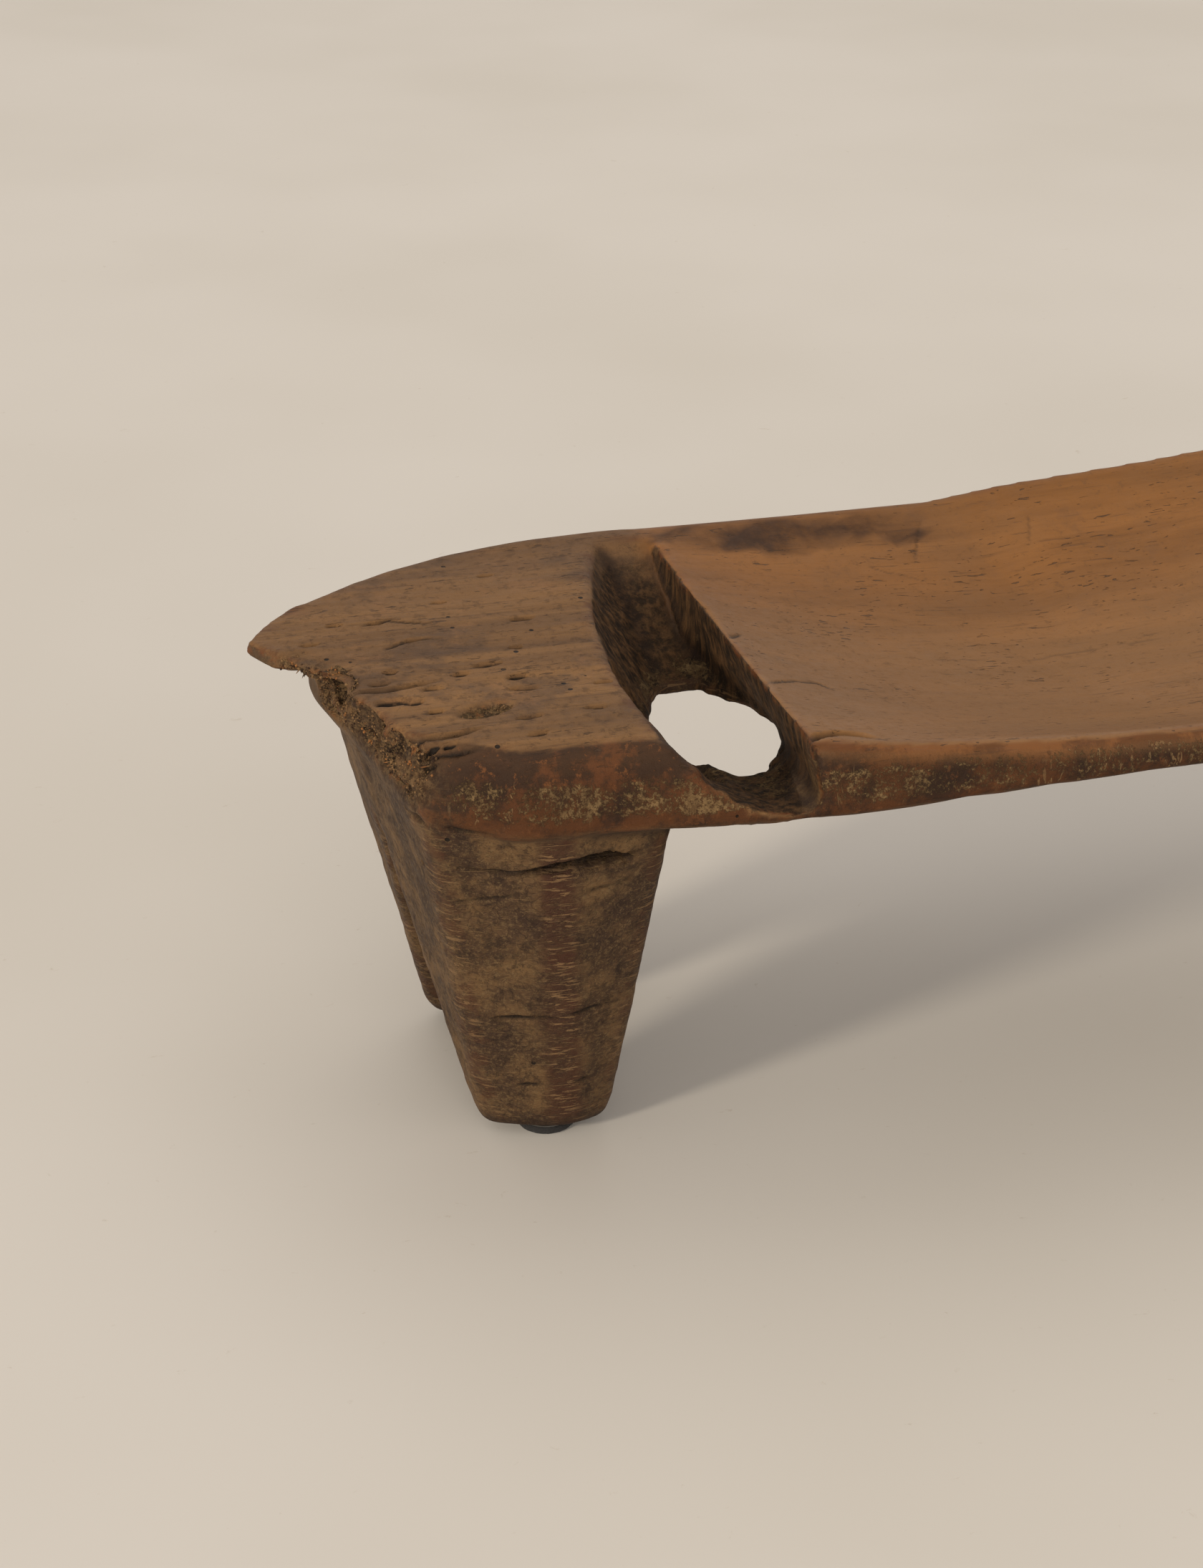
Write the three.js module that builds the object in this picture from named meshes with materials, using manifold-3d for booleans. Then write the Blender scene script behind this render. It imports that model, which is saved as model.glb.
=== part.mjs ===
// A low headrest carved from one block of wood. A thin slab is hollowed into a dish between two
// thick end blocks. A hand slot is cut through the slab beside each end block, and a pair of
// tapered, faceted legs grows out of the block under each end. Each foot stands on a round felt
// pad, held by a thin disc of adhesive.
//
// Millimetres. +X runs along the slab, +Y across it and +Z up. The origin is on the floor, under
// the middle of the overall box. The worn end is at -X, and the front is the -Y side.
import * as THREE from "three";
import { mergeVertices } from "three/addons/utils/BufferGeometryUtils.js";
import Module from "manifold-3d";

const wasm = await Module();
wasm.setup();

// Driving dimensions.
const LENGTH = 720; // to the corners of the ends, before they are rounded over
const WIDTH = 232;
const BLOCK_TOP = 194; // height of an end block's top
const LEG_TOP = 162; // height of the slab's lower edge on an end block, where the legs begin
const PAD_DIAMETER = 25;
const PAD_THICKNESS = 3.4;
const ADHESIVE_THICKNESS = 0.5;
const CLEARANCE = 0.3; // gap kept between touching solids

// Derived places.
const HALF = LENGTH / 2;
const FRONT = -WIDTH / 2;
const BACK = WIDTH / 2;
const ADHESIVE_BASE = PAD_THICKNESS + CLEARANCE;
const FOOT_BASE = ADHESIVE_BASE + ADHESIVE_THICKNESS + CLEARANCE;

// The two ends. front and back are the slab's lower edges seen from above: each point is [distance
// from the overall end, inset from the overall side]. The end face leans in below the top edge, by
// undercut at its front and back corners, and it is hollow or, below 0, bowed out between them.
// legShift moves the pair of legs along the slab.
const WORN_END = {
  side: -1,
  front: [[36, 42], [44, 33], [58, 26], [74, 16], [92, 14], [116, 13], [146, 8], [200, 1], [260, 0]],
  back: [[-6, 80], [4, 64], [16, 51], [31, 40], [50, 28], [87, 11], [122, 3], [158, 0], [220, 0]],
  undercut: [6, 36],
  hollow: 5,
  shoulder: 2,
  legShift: 0,
};
const SOUND_END = {
  side: 1,
  front: [[16, 44], [26, 30], [44, 20], [68, 14], [98, 10], [140, 6], [196, 1], [260, 0]],
  back: [[0, 66], [12, 44], [30, 26], [56, 14], [92, 6], [140, 2], [220, 0]],
  undercut: [11, 27],
  hollow: -7,
  shoulder: 7,
  legShift: -16,
};

// The dish between the slots.
const DISH_HALF_LENGTH = 175;
const FRONT_RIM_SAG = 13; // how far the worn front rim drops at the middle
const BACK_RIM_STEPS = [{ rise: 7, from: -24, to: 8 }, { rise: 6, from: 36, to: 104 }];
const DISH_DEPTH = 25; // below a straight line from rim to rim, at the middle
const DISH_DEPTH_AT_SLOT = 4;
const EDGE_RISE = 6; // how much higher the slab's lower edge is at the middle of the length
const BELLY = 13; // how much deeper the underside is along its middle than at the edges

// Roundings of the slab's edges.
const FRONT_SHOULDER = 15; // on the end blocks
const DISH_SHOULDER = 8; // beside the dish
const BACK_SHOULDER = 6;

const clamp01 = (t) => THREE.MathUtils.clamp(t, 0, 1);
const lerp = THREE.MathUtils.lerp;
const smoothstep = (x, low, high) => THREE.MathUtils.smoothstep(x, low, high);

// ---- solids: three.js geometry in, manifold-3d only to join and cut, three.js geometry out ----

function solidOf(geometry) {
  const bare = geometry.clone();
  bare.deleteAttribute("normal");
  bare.deleteAttribute("uv");
  const merged = mergeVertices(bare, 1e-3);
  return new wasm.Manifold(
    new wasm.Mesh({
      numProp: 3,
      vertProperties: merged.attributes.position.array,
      triVerts: new Uint32Array(merged.index.array),
    }),
  );
}

function geometryOf(solid) {
  const mesh = solid.getMesh();
  const geometry = new THREE.BufferGeometry();
  geometry.setAttribute("position", new THREE.BufferAttribute(mesh.vertProperties, 3));
  geometry.setIndex(new THREE.BufferAttribute(mesh.triVerts, 1));
  geometry.computeVertexNormals();
  return geometry;
}

// A closed skin over a stack of rings, lowest first. Each ring has the same number of points and
// runs anticlockwise seen from above.
function loft(rings) {
  const count = rings[0].length;
  const positions = rings.flat().flatMap((p) => [p.x, p.y, p.z]);
  const index = [];
  for (let level = 0; level < rings.length - 1; level++) {
    for (let i = 0; i < count; i++) {
      const a = level * count + i;
      const b = level * count + ((i + 1) % count);
      index.push(a, b, b + count, a, b + count, a + count);
    }
  }
  const capOf = (ring, first, flip) => {
    const flat = ring.map((p) => new THREE.Vector2(p.x, p.y));
    for (const [a, b, c] of THREE.ShapeUtils.triangulateShape(flat, [])) {
      index.push(first + a, first + (flip ? c : b), first + (flip ? b : c));
    }
  };
  capOf(rings[0], 0, true);
  capOf(rings.at(-1), (rings.length - 1) * count, false);
  const geometry = new THREE.BufferGeometry();
  geometry.setAttribute("position", new THREE.Float32BufferAttribute(positions, 3));
  geometry.setIndex(index);
  return geometry;
}

// ---- the slab ----

// One side of the slab seen from above, as a smooth curve from the -X end to the +X end.
function sideCurve(key, sideY) {
  const pointsOf = (end) =>
    end[key].map(([s, inset]) => new THREE.Vector3(end.side * (HALF - s), sideY * (1 - inset / BACK), 0));
  const points = [...pointsOf(WORN_END), new THREE.Vector3(0, sideY, 0), ...pointsOf(SOUND_END).reverse()];
  return new THREE.CatmullRomCurve3(points, false, "centripetal");
}

const frontCurve = sideCurve("front", FRONT);
const backCurve = sideCurve("back", BACK);

// 1 in the dish and 0 on the end blocks, changing over the width of the slots.
const inDish = (x) => 1 - smoothstep(Math.abs(x), DISH_HALF_LENGTH - 12, DISH_HALF_LENGTH + 22);

function rimHeight(x, backShare) {
  const off = clamp01(Math.abs(x) / DISH_HALF_LENGTH);
  const front = BLOCK_TOP - FRONT_RIM_SAG * (1 - off ** 2);
  const fall = 1 - smoothstep(x, 115, 215);
  const steps = BACK_RIM_STEPS.reduce((sum, { rise, from, to }) => sum + rise * smoothstep(x, from, to), 0);
  return lerp(front, BLOCK_TOP + 1 + steps * fall, backShare);
}

// Height of the top at x, where backShare runs from 0 on the front edge to 1 on the back edge.
function topHeight(x, backShare) {
  const off = clamp01(Math.abs(x) / DISH_HALF_LENGTH);
  const depth = lerp(DISH_DEPTH, DISH_DEPTH_AT_SLOT, off ** 2) * inDish(x);
  const across = 4 * backShare * (1 - backShare);
  return rimHeight(x, backShare) - depth * across;
}

function undersideHeight(x, backShare) {
  const edge = LEG_TOP + EDGE_RISE * (1 - smoothstep(Math.abs(x), 0, 260));
  return edge - BELLY * (4 * backShare * (1 - backShare)) ** 0.7;
}

// The slab is a box whose grid of points is carried onto the carved surfaces.
function slabGeometry() {
  const box = new THREE.BoxGeometry(1, 1, 1, 66, 16, 4);
  const place = box.attributes.position;
  for (let i = 0; i < place.count; i++) {
    const along = place.getX(i) + 0.5;
    const backShare = place.getY(i) + 0.5;
    const turn = ((place.getZ(i) + 0.5) * Math.PI) / 2; // 0 at the underside, a quarter turn at the top
    const front = frontCurve.getPoint(along);
    const back = backCurve.getPoint(along);
    const rounding = 1 - Math.cos(turn);
    const middle = lerp(front.x, back.x, backShare);
    const end = middle < 0 ? WORN_END : SOUND_END;
    const nearEnd = 1 - smoothstep(HALF - Math.abs(middle), 0, 120);
    const undercut = lerp(...end.undercut, backShare) * (1 - Math.sin(turn));
    const hollow = end.hollow * 4 * backShare * (1 - backShare);
    const x = middle - end.side * nearEnd * (undercut + hollow + end.shoulder * rounding);
    const frontShoulder = lerp(FRONT_SHOULDER, DISH_SHOULDER, inDish(x));
    const y = lerp(front.y + frontShoulder * rounding, back.y - BACK_SHOULDER * rounding, backShare);
    const z = lerp(undersideHeight(x, backShare), topHeight(x, backShare), Math.sin(turn));
    place.setXYZ(i, x, y, z);
  }
  return box;
}

// ---- the hand slots ----

// Each slot is wide at the top and narrows to an oval hole in the underside. Its front end runs
// out through the slab's front edge as a V, above a thin bridge. Its back end stops short of the
// rim. A level gives its height, the Y of the slot's front and back ends, the slot's widths at the
// front, the middle and the back, and how far the dish side is cut away under the dish.
const SLOT_LEVELS = [
  { z: 130, ends: [-50, 28], widths: [10, 27, 16], undercut: 22 },
  { z: 155, ends: [-54, 30], widths: [10, 29, 16], undercut: 20 },
  { z: 170, ends: [-128, 58], widths: [14, 42, 18], undercut: 10 },
  { z: 182, ends: [-136, 80], widths: [29, 48, 21], undercut: 4 },
  { z: 193, ends: [-142, 97], widths: [44, 53, 25], undercut: 0 },
  { z: 212, ends: [-150, 106], widths: [52, 58, 28], undercut: -4 },
];

// count numbers from -1 to 1.
const evenly = (count) => Array.from({ length: count }, (_, i) => (2 * i) / (count - 1) - 1);

function slotGeometry({ side }) {
  const edgeX = side * DISH_HALF_LENGTH;
  const rings = SLOT_LEVELS.map(({ z, ends, widths, undercut }) => {
    const [front, back] = ends;
    const [atFront, atMiddle, atBack] = widths;
    const point = (t, outward) =>
      new THREE.Vector3(edgeX + side * outward, lerp(front, back, (t + 1) / 2), z);
    const bow = atMiddle - (atFront + atBack) / 2;
    const blockSide = evenly(15).map((t) =>
      point(t, lerp(atFront, atBack, (t + 1) / 2) + bow * (1 - t * t)),
    );
    const dishSide = evenly(9).map((t) => point(-t, -undercut * (1 - t * t)));
    const ring = [...blockSide, ...dishSide];
    return side > 0 ? ring : ring.reverse();
  });
  return loft(rings);
}

// ---- the legs ----

// A leg's six corners at the foot and at the slab, as [distance from the overall end, inset from
// the overall side]: the end corner, the outer ridge, the inner corner, and three on the hidden
// side, of which the last is the edge of the notch between the two legs.
const FOOT_CORNERS = [[72, 66], [104, 53], [125, 59], [127, 78], [104, 92], [70, 75]];
const FRONT_LEG = [[43, 35], [89, 15], [138, 24], [150, 71], [112, 116], [32, 127]];
const BACK_LEG = [[32, 50], [84, 18], [138, 24], [150, 71], [112, 116], [32, 127]];
const CORNER_ROUNDING = [6, 12, 6, 10, 10, 4];
const FOOT_ROUNDING = [{ height: 0, keep: 0.9 }, { height: 0.02, keep: 0.96 }, { height: 0.05, keep: 0.99 }];
const LEG_SECTIONS = [0.25, 0.5, 0.75, 1, 1.06]; // as shares of the height up to the slab

function roundedRing(corners, z) {
  const outline = corners.flatMap((corner, i) => {
    const before = corners.at(i - 1);
    const after = corners[(i + 1) % corners.length];
    const share = (other) => Math.min(CORNER_ROUNDING[i] / corner.distanceTo(other), 0.42);
    const from = corner.clone().lerp(before, share(before));
    const to = corner.clone().lerp(after, share(after));
    return new THREE.QuadraticBezierCurve(from, corner, to).getPoints(3);
  });
  const ring = outline.map((p) => new THREE.Vector3(p.x, p.y, z));
  return THREE.ShapeUtils.isClockWise(ring) ? ring.reverse() : ring;
}

function legGeometry(end, slabCorners, sideY) {
  const sections = [...FOOT_ROUNDING, ...LEG_SECTIONS.map((height) => ({ height, keep: 1 }))];
  const rings = sections.map(({ height, keep }) => {
    const corners = FOOT_CORNERS.map(([footS, footInset], i) => {
      const [slabS, slabInset] = slabCorners[i];
      const s = lerp(footS, slabS, height) + end.legShift;
      const inset = lerp(footInset, slabInset, height);
      return new THREE.Vector2(end.side * (HALF - s), sideY * (1 - inset / BACK));
    });
    const centre = corners.reduce((sum, p) => sum.add(p), new THREE.Vector2()).divideScalar(6);
    for (const corner of corners) corner.lerp(centre, 1 - keep);
    return roundedRing(corners, lerp(FOOT_BASE, LEG_TOP, height));
  });
  return loft(rings);
}

// ---- decay on the worn end ----

// Bites that insects and rot have taken along the worn end's top edge. They leave the back corner
// standing as a horn. Each has [distance from the overall end, Y, Z] and its three radii.
const BITES = [
  { at: [13, 6, 182], radii: [12, 15, 8] },
  { at: [20, -15, 187], radii: [10, 16, 8] },
  { at: [26, -40, 187], radii: [9, 14, 8] },
  { at: [33, -63, 186], radii: [8, 12, 8] },
];

function biteGeometry({ at: [s, y, z], radii }) {
  return new THREE.SphereGeometry(1, 14, 9).rotateX(Math.PI / 2).scale(...radii).translate(s - HALF, y, z);
}

// ---- the object ----

const WOOD = new THREE.MeshStandardMaterial({ color: 0x6b4328, roughness: 0.55, metalness: 0 });
const FELT = new THREE.MeshStandardMaterial({ color: 0x14120f, roughness: 0.98, metalness: 0 });
const ADHESIVE = new THREE.MeshStandardMaterial({ color: 0xcfc9b8, roughness: 0.4, metalness: 0 });

function carvedBody() {
  let wood = solidOf(slabGeometry());
  for (const end of [WORN_END, SOUND_END]) {
    wood = wood.add(solidOf(legGeometry(end, FRONT_LEG, FRONT)));
    wood = wood.add(solidOf(legGeometry(end, BACK_LEG, BACK)));
    wood = wood.subtract(solidOf(slotGeometry(end)));
  }
  for (const bite of BITES) wood = wood.subtract(solidOf(biteGeometry(bite)));
  return geometryOf(wood);
}

function part(name, geometry, material) {
  const mesh = new THREE.Mesh(geometry, material);
  mesh.name = name;
  return mesh;
}

function disc(diameter, thickness) {
  return new THREE.CylinderGeometry(diameter / 2, diameter / 2, thickness, 40).rotateX(Math.PI / 2);
}

const headrest = new THREE.Group();
const body = part("carved_body", carvedBody(), WOOD);
headrest.add(body);

// A felt pad and its adhesive disc under the middle of each foot.
const FOOT_MIDDLE = { fromEnd: 100, inset: 71 };
for (const [endName, end] of [["left", WORN_END], ["right", SOUND_END]]) {
  for (const [sideName, sideY] of [["front", FRONT], ["back", BACK]]) {
    const foot = new THREE.Group();
    const x = end.side * (HALF - FOOT_MIDDLE.fromEnd - end.legShift);
    foot.position.set(x, sideY * (1 - FOOT_MIDDLE.inset / BACK), 0);
    const pad = part(`felt_pad_${sideName}_${endName}`, disc(PAD_DIAMETER, PAD_THICKNESS), FELT);
    pad.position.z = PAD_THICKNESS / 2;
    const film = disc(PAD_DIAMETER - 1, ADHESIVE_THICKNESS);
    const adhesive = part(`pad_adhesive_${sideName}_${endName}`, film, ADHESIVE);
    adhesive.position.z = ADHESIVE_BASE + ADHESIVE_THICKNESS / 2;
    foot.add(pad, adhesive);
    headrest.add(foot);
  }
}

// The carved ends are not quite mirror images, so the whole is set over the middle of its box.
const middle = new THREE.Box3().setFromObject(body).getCenter(new THREE.Vector3());
headrest.position.set(-middle.x, -middle.y, 0);

export default headrest;
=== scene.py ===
# A low headrest carved from one block of wood: a dished slab between two thick ends, a hand slot
# beside each end, and four faceted legs, each standing on a felt pad.
import itertools
import math
import bpy
import numpy as np
import openvdb
from mathutils import Matrix, Vector, kdtree


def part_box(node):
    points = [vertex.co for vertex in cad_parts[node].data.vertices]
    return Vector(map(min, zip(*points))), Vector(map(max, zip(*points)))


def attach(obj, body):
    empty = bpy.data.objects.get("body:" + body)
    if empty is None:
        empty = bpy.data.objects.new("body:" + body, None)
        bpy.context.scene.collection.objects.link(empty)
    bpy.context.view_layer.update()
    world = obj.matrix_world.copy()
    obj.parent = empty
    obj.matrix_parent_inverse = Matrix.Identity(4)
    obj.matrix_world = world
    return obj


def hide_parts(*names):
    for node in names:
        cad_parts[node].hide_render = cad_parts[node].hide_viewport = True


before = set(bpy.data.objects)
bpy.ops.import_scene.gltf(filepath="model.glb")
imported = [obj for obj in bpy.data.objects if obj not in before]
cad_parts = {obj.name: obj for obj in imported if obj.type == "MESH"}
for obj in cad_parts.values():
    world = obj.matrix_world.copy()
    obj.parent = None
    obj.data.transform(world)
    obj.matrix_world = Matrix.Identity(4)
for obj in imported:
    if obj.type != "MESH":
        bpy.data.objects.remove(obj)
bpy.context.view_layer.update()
scene = bpy.context.scene

# ---- camera: a long lens on a stand, above the height of the rest and off its worn end, turned
# along its length and tilted down. Angles in degrees, lens in millimetres, place in metres. ----
turn, tilt, roll = math.radians(16.5), math.radians(27.1), math.radians(0.82)
forward = Vector((math.sin(turn) * math.cos(tilt), math.cos(turn) * math.cos(tilt), -math.sin(tilt)))
level = Vector((math.cos(turn), -math.sin(turn), 0.0))
above = level.cross(forward)
across = level * math.cos(roll) + above * math.sin(roll)
upward = above * math.cos(roll) - level * math.sin(roll)
camera = bpy.data.objects.new("camera", bpy.data.cameras.new("camera"))
camera.data.lens = 62.49
camera.data.sensor_width = 36.0
camera.data.clip_end = 60.0
stand_point = (-0.50303, -0.95523, 0.63877)
camera.matrix_world = Matrix.Translation(stand_point) @ Matrix(
    (across, upward, -forward)
).transposed().to_4x4()
scene.collection.objects.link(camera)
scene.camera = camera


# ---- studio floor: a broad pale painted floor, smooth, a little cloudy and lightly flecked.
# Metres. The small functions here build node trees and serve the later sections too. ----
def add(tree, kind, inputs=None, **settings):
    """One node, with its inputs set to numbers or joined to other nodes' outputs."""
    made = tree.nodes.new(kind)
    for name, value in settings.items():
        setattr(made, name, value)
    for name, value in (inputs or {}).items():
        if isinstance(value, bpy.types.NodeSocket):
            tree.links.new(value, made.inputs[name])
        else:
            made.inputs[name].default_value = value
    return made


def noise_of(
    tree, scale, detail=4.0, roughness=0.55, stretch=(1.0, 1.0, 1.0), shift=(0.0, 0.0, 0.0), warp=0.0
):
    """Noise over the object's own coordinates, stretched along the axes: its factor."""
    place = add(tree, "ShaderNodeTexCoord").outputs["Object"]
    turned = add(tree, "ShaderNodeMapping", {"Vector": place, "Location": shift, "Scale": stretch})
    noise = add(
        tree,
        "ShaderNodeTexNoise",
        {
            "Vector": turned.outputs[0],
            "Scale": scale,
            "Detail": detail,
            "Roughness": roughness,
            "Distortion": warp,
        },
    )
    return noise.outputs["Factor" if "Factor" in noise.outputs else "Fac"]


def between(tree, value, low, high, to_low=0.0, to_high=1.0):
    """A smooth step from to_low, where value is low, to to_high, where it is high."""
    made = add(
        tree,
        "ShaderNodeMapRange",
        {0: value, 1: low, 2: high, 3: to_low, 4: to_high},
        interpolation_type="SMOOTHSTEP",
    )
    return made.outputs[0]


def maths(tree, operation, a, b=0.0, clamp=False):
    return add(tree, "ShaderNodeMath", {0: a, 1: b}, operation=operation, use_clamp=clamp).outputs[0]


def tint(tree, share, under, over):
    """The colour under, with the colour over laid on it by share."""
    made = add(tree, "ShaderNodeMix", {0: share, 6: under, 7: over}, data_type="RGBA")
    return made.outputs[2]


def new_material(name):
    made = bpy.data.materials.new(name)
    made.use_nodes = True
    tree = made.node_tree
    return made, tree, tree.nodes["Principled BSDF"]


floor_mesh = bpy.data.meshes.new("studio_floor")
reach = 14.0
floor_mesh.from_pydata(
    [(-reach, -reach, 0), (reach, -reach, 0), (reach, reach, 0), (-reach, reach, 0)], [], [(0, 1, 2, 3)]
)
floor = bpy.data.objects.new("studio_floor", floor_mesh)
scene.collection.objects.link(floor)
floor_paint, tree, shader = new_material("floor_paint")
cloud = between(tree, noise_of(tree, 1.6, 3.0), 0.35, 0.7)
flecks = between(tree, noise_of(tree, 90.0, 5.0, 0.7, (1.0, 1.6, 1.0), warp=0.6), 0.66, 0.74)
paint = tint(tree, cloud, (0.62, 0.565, 0.50, 1), (0.58, 0.525, 0.455, 1))
paint = tint(tree, maths(tree, "MULTIPLY", flecks, 0.35), paint, (0.40, 0.31, 0.22, 1))
tree.links.new(paint, shader.inputs["Base Color"])
shader.inputs["Roughness"].default_value = 0.55
shader.inputs["Specular IOR Level"].default_value = 0.3
floor_mesh.materials.append(floor_paint)

# ---- studio light: low warm daylight from a window off the worn end, a wide softbox in front, a
# soft ceiling light behind, and the even light of a pale room. ----
for name, place, aim, size, power, colour in (
    ("front_softbox", (-0.5, -3.0, 0.85), (0.0, 0.3, 0.1), 2.0, 40.0, (1.0, 0.98, 0.95)),
    ("ceiling_light", (0.2, 1.4, 3.0), (0.0, 1.0, 0.0), 2.6, 16.0, (1.0, 0.98, 0.95)),
):
    lamp = bpy.data.objects.new(name, bpy.data.lights.new(name, "AREA"))
    lamp.data.size = size
    lamp.data.energy = power
    lamp.data.color = colour
    lamp.location = place
    lamp.rotation_mode = "QUATERNION"
    lamp.rotation_quaternion = (Vector(aim) - Vector(place)).to_track_quat("-Z", "Y")
    scene.collection.objects.link(lamp)
window = bpy.data.objects.new("low_window_light", bpy.data.lights.new("low_window_light", "SUN"))
window.data.energy = 1.75
window.data.angle = math.radians(8)
window.data.color = (1.0, 0.93, 0.80)
window.rotation_mode = "QUATERNION"
daylight_goes = Vector((0.915, 0.40, -0.40))
window.rotation_quaternion = daylight_goes.to_track_quat("-Z", "Y")
scene.collection.objects.link(window)
scene.world = bpy.data.worlds.new("pale_room")
scene.world.use_nodes = True
room = scene.world.node_tree.nodes["Background"]
room.inputs["Color"].default_value = (0.62, 0.60, 0.58, 1)
room.inputs["Strength"].default_value = 1.08
scene.view_settings.view_transform = "Standard"

# ---- carved body: one block of dense brown wood, hollowed and faceted with an adze and a knife,
# worn smooth by use, checked by drying and eaten by insects at one end. Lengths in millimetres. ----
GRID = 1.25  # pitch of the dense skin that is carved
SMOOTHING = 11  # rounds that take the facets of the plain solid off
KEPT_TRIANGLES = 190000
FOOT_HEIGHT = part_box("carved_body")[0].z * 1000
cad_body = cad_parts["carved_body"]


def merged_shell(piece):
    """The corners of a CAD node's mesh with doubles merged, in millimetres, and its triangles."""
    mesh = piece.data
    mesh.calc_loop_triangles()
    corners = np.zeros(len(mesh.vertices) * 3, np.float32)
    mesh.vertices.foreach_get("co", corners)
    corners = corners.reshape(-1, 3) * 1000
    triangles = np.zeros(len(mesh.loop_triangles) * 3, np.int32)
    mesh.loop_triangles.foreach_get("vertices", triangles)
    kept, where = np.unique(np.round(corners, 3), axis=0, return_inverse=True)
    triangles = where.reshape(-1)[triangles].reshape(-1, 3)
    a, b, c = triangles.T
    whole = (a != b) & (b != c) & (a != c)
    return kept.astype(np.float32), triangles[whole].astype(np.uint32)


def even_skin(corners, triangles, pitch):
    """The same shell as a dense skin of even squares, wound outwards."""
    grid = openvdb.FloatGrid.createLevelSetFromPolygons(
        points=corners, triangles=triangles, transform=openvdb.createLinearTransform(voxelSize=pitch)
    )
    points, threes, fours = grid.convertToPolygons(isovalue=0.0, adaptivity=0.0)
    points = np.asarray(points, np.float64)
    faces = [np.asarray(threes, np.int64).reshape(-1, 3)] if threes is not None and len(threes) else []
    fours = np.asarray(fours, np.int64).reshape(-1, 4)
    faces += [fours[:, [0, 1, 2]], fours[:, [0, 2, 3]]]
    faces = np.concatenate(faces)
    a, b, c = (points[faces[:, k]] for k in range(3))
    if np.einsum("ij,ij->i", a, np.cross(b, c)).sum() < 0:
        faces = faces[:, ::-1]
    return points, faces


def normals_of(points, faces):
    a, b, c = (points[faces[:, k]] for k in range(3))
    flat = np.cross(b - a, c - a)
    total = np.stack(
        [np.bincount(faces.ravel(), np.repeat(flat[:, k], 3), len(points)) for k in range(3)], axis=1
    )
    return total / np.maximum(np.linalg.norm(total, axis=1, keepdims=True), 1e-12)


class Neighbours:
    """Averages a value over each corner's neighbours."""

    def __init__(self, faces, count):
        ends = np.concatenate([faces[:, [0, 1]], faces[:, [1, 2]], faces[:, [2, 0]]])
        self.start, self.end, self.count = ends[:, 0], ends[:, 1], count
        self.number = np.bincount(self.start, minlength=count)

    def average(self, value):
        value = value.reshape(self.count, -1)
        rows = [np.bincount(self.start, value[self.end, k], self.count) for k in range(value.shape[1])]
        return np.stack(rows, axis=1) / self.number[:, None]


def step(value, low, high):
    t = np.clip((value - low) / (high - low), 0.0, 1.0)
    return t * t * (3 - 2 * t)


def scatter(cell, seed):
    """A number from 0 to 1 for each whole-numbered cell."""
    mixed = cell[..., 0] * 73856093 ^ cell[..., 1] * 19349663 ^ cell[..., 2] * 83492791 ^ seed * 40503
    mixed = (mixed & 0xFFFFFFFF) * 1103515245 + 12345 & 0xFFFFFFFF
    mixed = (mixed ^ mixed >> 15) * 2246822519 & 0xFFFFFFFF
    return (mixed ^ mixed >> 13) / 4294967296.0


def rolling(points, size, seed, layers=3):
    """Rolling unevenness from -1 to 1. size is the length of a wave along each axis."""
    total = np.zeros(len(points))
    for layer in range(layers):
        place = points / np.asarray(size) * 2**layer + 31.7 * layer
        base = np.floor(place).astype(np.int64)
        share = place - base
        share = share * share * (3 - 2 * share)
        for corner in itertools.product((0, 1), repeat=3):
            weight = np.prod(np.where(corner, share, 1 - share), axis=1)
            total += weight * (2 * scatter(base + corner, seed + layer) - 1) * 0.55**layer
    return total


def tool_cuts(points, size, seed):
    """Side by side scoops of a blade: 0 in the middle of a scoop, 1 on the ridge between two."""
    place = points / np.asarray(size)
    base = np.floor(place).astype(np.int64)
    first = np.full(len(points), 9.0)
    second = first.copy()
    for offset in itertools.product((-1, 0, 1), repeat=3):
        cell = base + offset
        middle = cell + np.stack([scatter(cell, seed + k) for k in range(3)], axis=1)
        gap = np.linalg.norm(place - middle, axis=1)
        second = np.minimum(second, np.maximum(first, gap))
        first = np.minimum(first, gap)
    return np.clip(1 - (second - first) / 0.7, 0.0, 1.0)


def near_path(points, path, reach):
    """Rows of points within reach of a path, their distance from it, and their share along it."""
    path = np.asarray(path, float)
    low, high = path.min(0) - reach, path.max(0) + reach
    rows = np.where(((points > low) & (points < high)).all(1))[0]
    best = np.full(len(rows), 1e9)
    share = np.zeros(len(rows))
    lengths = np.linalg.norm(np.diff(path, axis=0), axis=1)
    done = 0.0
    for a, b, length in zip(path[:-1], path[1:], lengths):
        along = np.clip((points[rows] - a) @ (b - a) / length**2, 0.0, 1.0)
        gap = np.linalg.norm(points[rows] - a - along[:, None] * (b - a), axis=1)
        closer = gap < best
        best[closer] = gap[closer]
        share[closer] = (done + along[closer] * length) / lengths.sum()
        done += length
    return rows, best, share


shell = merged_shell(cad_body)
body, faces = even_skin(*shell, GRID)
around = Neighbours(faces, len(body))
# The horn at the back of the worn end keeps its corners.
crisp = (1 - step(body[:, 0], -338, -326)) * step(body[:, 1], 0, 10) * step(body[:, 2], 170, 178)
for _ in range(SMOOTHING):
    body += (0.55 * (1 - 0.9 * crisp))[:, None] * (around.average(body) - body)
body[:, 2] = np.maximum(body[:, 2], FOOT_HEIGHT)
smooth = body.copy()
facing = normals_of(body, faces)
x, y, z = body.T
nx, ny, nz = facing.T

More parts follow.
